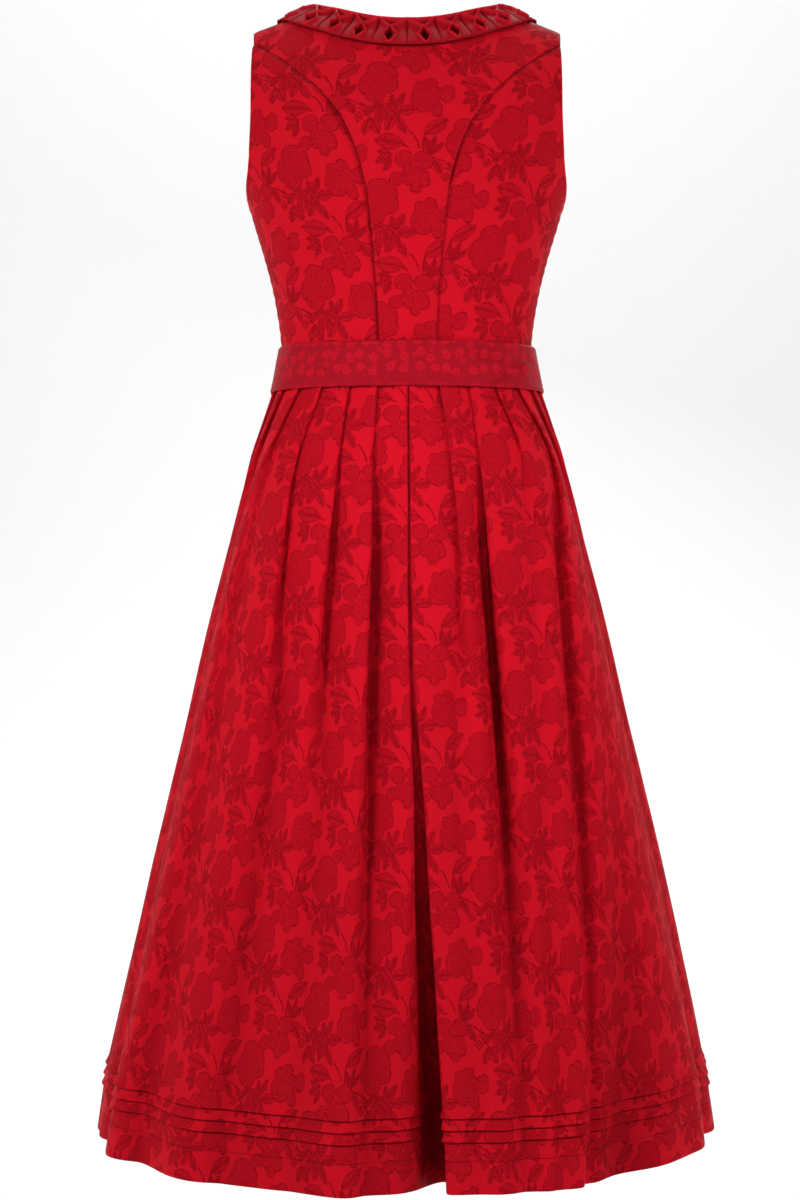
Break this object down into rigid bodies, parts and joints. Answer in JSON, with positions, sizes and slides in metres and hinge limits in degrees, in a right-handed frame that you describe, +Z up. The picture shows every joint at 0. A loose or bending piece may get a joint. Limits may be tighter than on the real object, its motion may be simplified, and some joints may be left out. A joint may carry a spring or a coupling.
{
  "type": "dirndl dress with its apron",
  "caption": "Sleeveless damask dirndl with a ruched neckline, a pleated skirt with tucks above the hem, and an apron tied round the waist, hollow as worn.",
  "frame": {"origin": "midway between the two shoulder seams, at the height where the dress rests on its wearer", "axes": "+Z up, the back of the dress faces -Y, +X is the wearer's right"},
  "size_m": [0.6181, 0.5384, 1.1302],
  "materials": {
    "damask": "red damask with a satin ground and duller woven flowers",
    "trim": "plain red satin, ruched",
    "tie": "red jacquard with small blossoms, soft sheen",
    "button": "darkened silver, softly polished"
  },
  "bodies": {
    "root": {"bodice_back_centre": "damask", "bodice_back_side_l": "damask", "bodice_back_side_r": "damask", "bodice_front_side_l": "damask", "bodice_front_side_r": "damask", "bodice_front_l": "damask", "bodice_front_r": "damask", "skirt_back_l": "damask", "skirt_back_r": "damask", "skirt_front_l": "damask", "skirt_front_r": "damask", "neckline_trim_back": "trim", "neckline_trim_front_l": "trim", "neckline_trim_front_r": "trim", "apron_panel": "tie", "apron_waistband": "tie", "tie_back": "tie", "tie_front": "tie", "bow_knot": "tie", "bow_loop_l": "tie", "bow_loop_r": "tie", "bow_tail_l": "tie", "bow_tail_r": "tie", "button_1": "button", "button_2": "button", "button_3": "button", "button_4": "button", "button_5": "button", "button_6": "button", "button_7": "button"}
  },
  "joints": []
}
